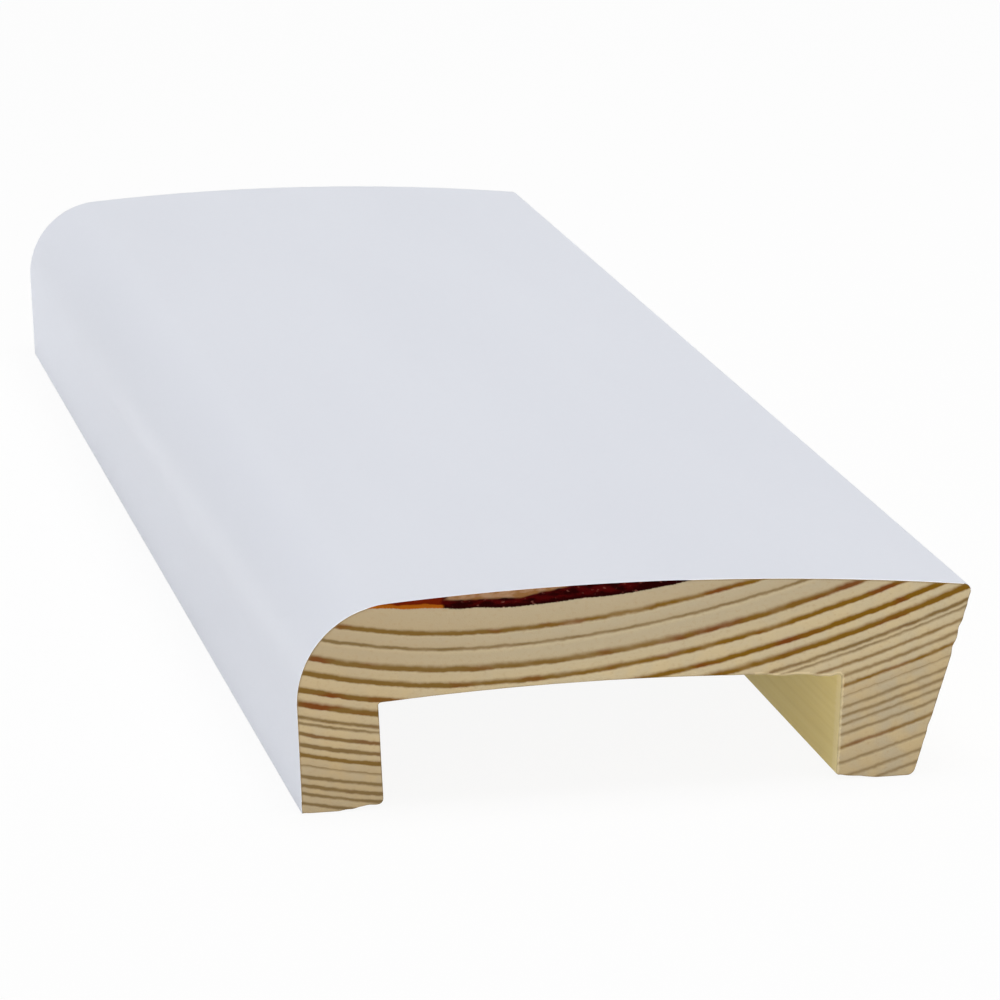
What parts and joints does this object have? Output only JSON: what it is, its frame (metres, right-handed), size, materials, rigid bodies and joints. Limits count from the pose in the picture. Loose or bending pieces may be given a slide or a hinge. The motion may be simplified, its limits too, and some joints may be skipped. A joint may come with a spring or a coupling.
{
  "type": "cable skirting board",
  "caption": "Pine skirting board with a white convex face, a rounded top edge, an undercut bottom edge and a cable channel along its back.",
  "frame": {"origin": "on the back plane that the feet lie on, under the middle of the board's box", "axes": "+X across the board from the rounded top edge to the undercut bottom edge, +Y along the grain, +Z out of the painted face"},
  "size_m": [0.0698, 0.25, 0.022],
  "materials": {
    "white_painted_pine": "satin white paint on the face and the top edge, bare planed pine on the back and the bottom edge, sawn end grain"
  },
  "bodies": {
    "root": {"skirting_board": "white_painted_pine"}
  },
  "joints": []
}
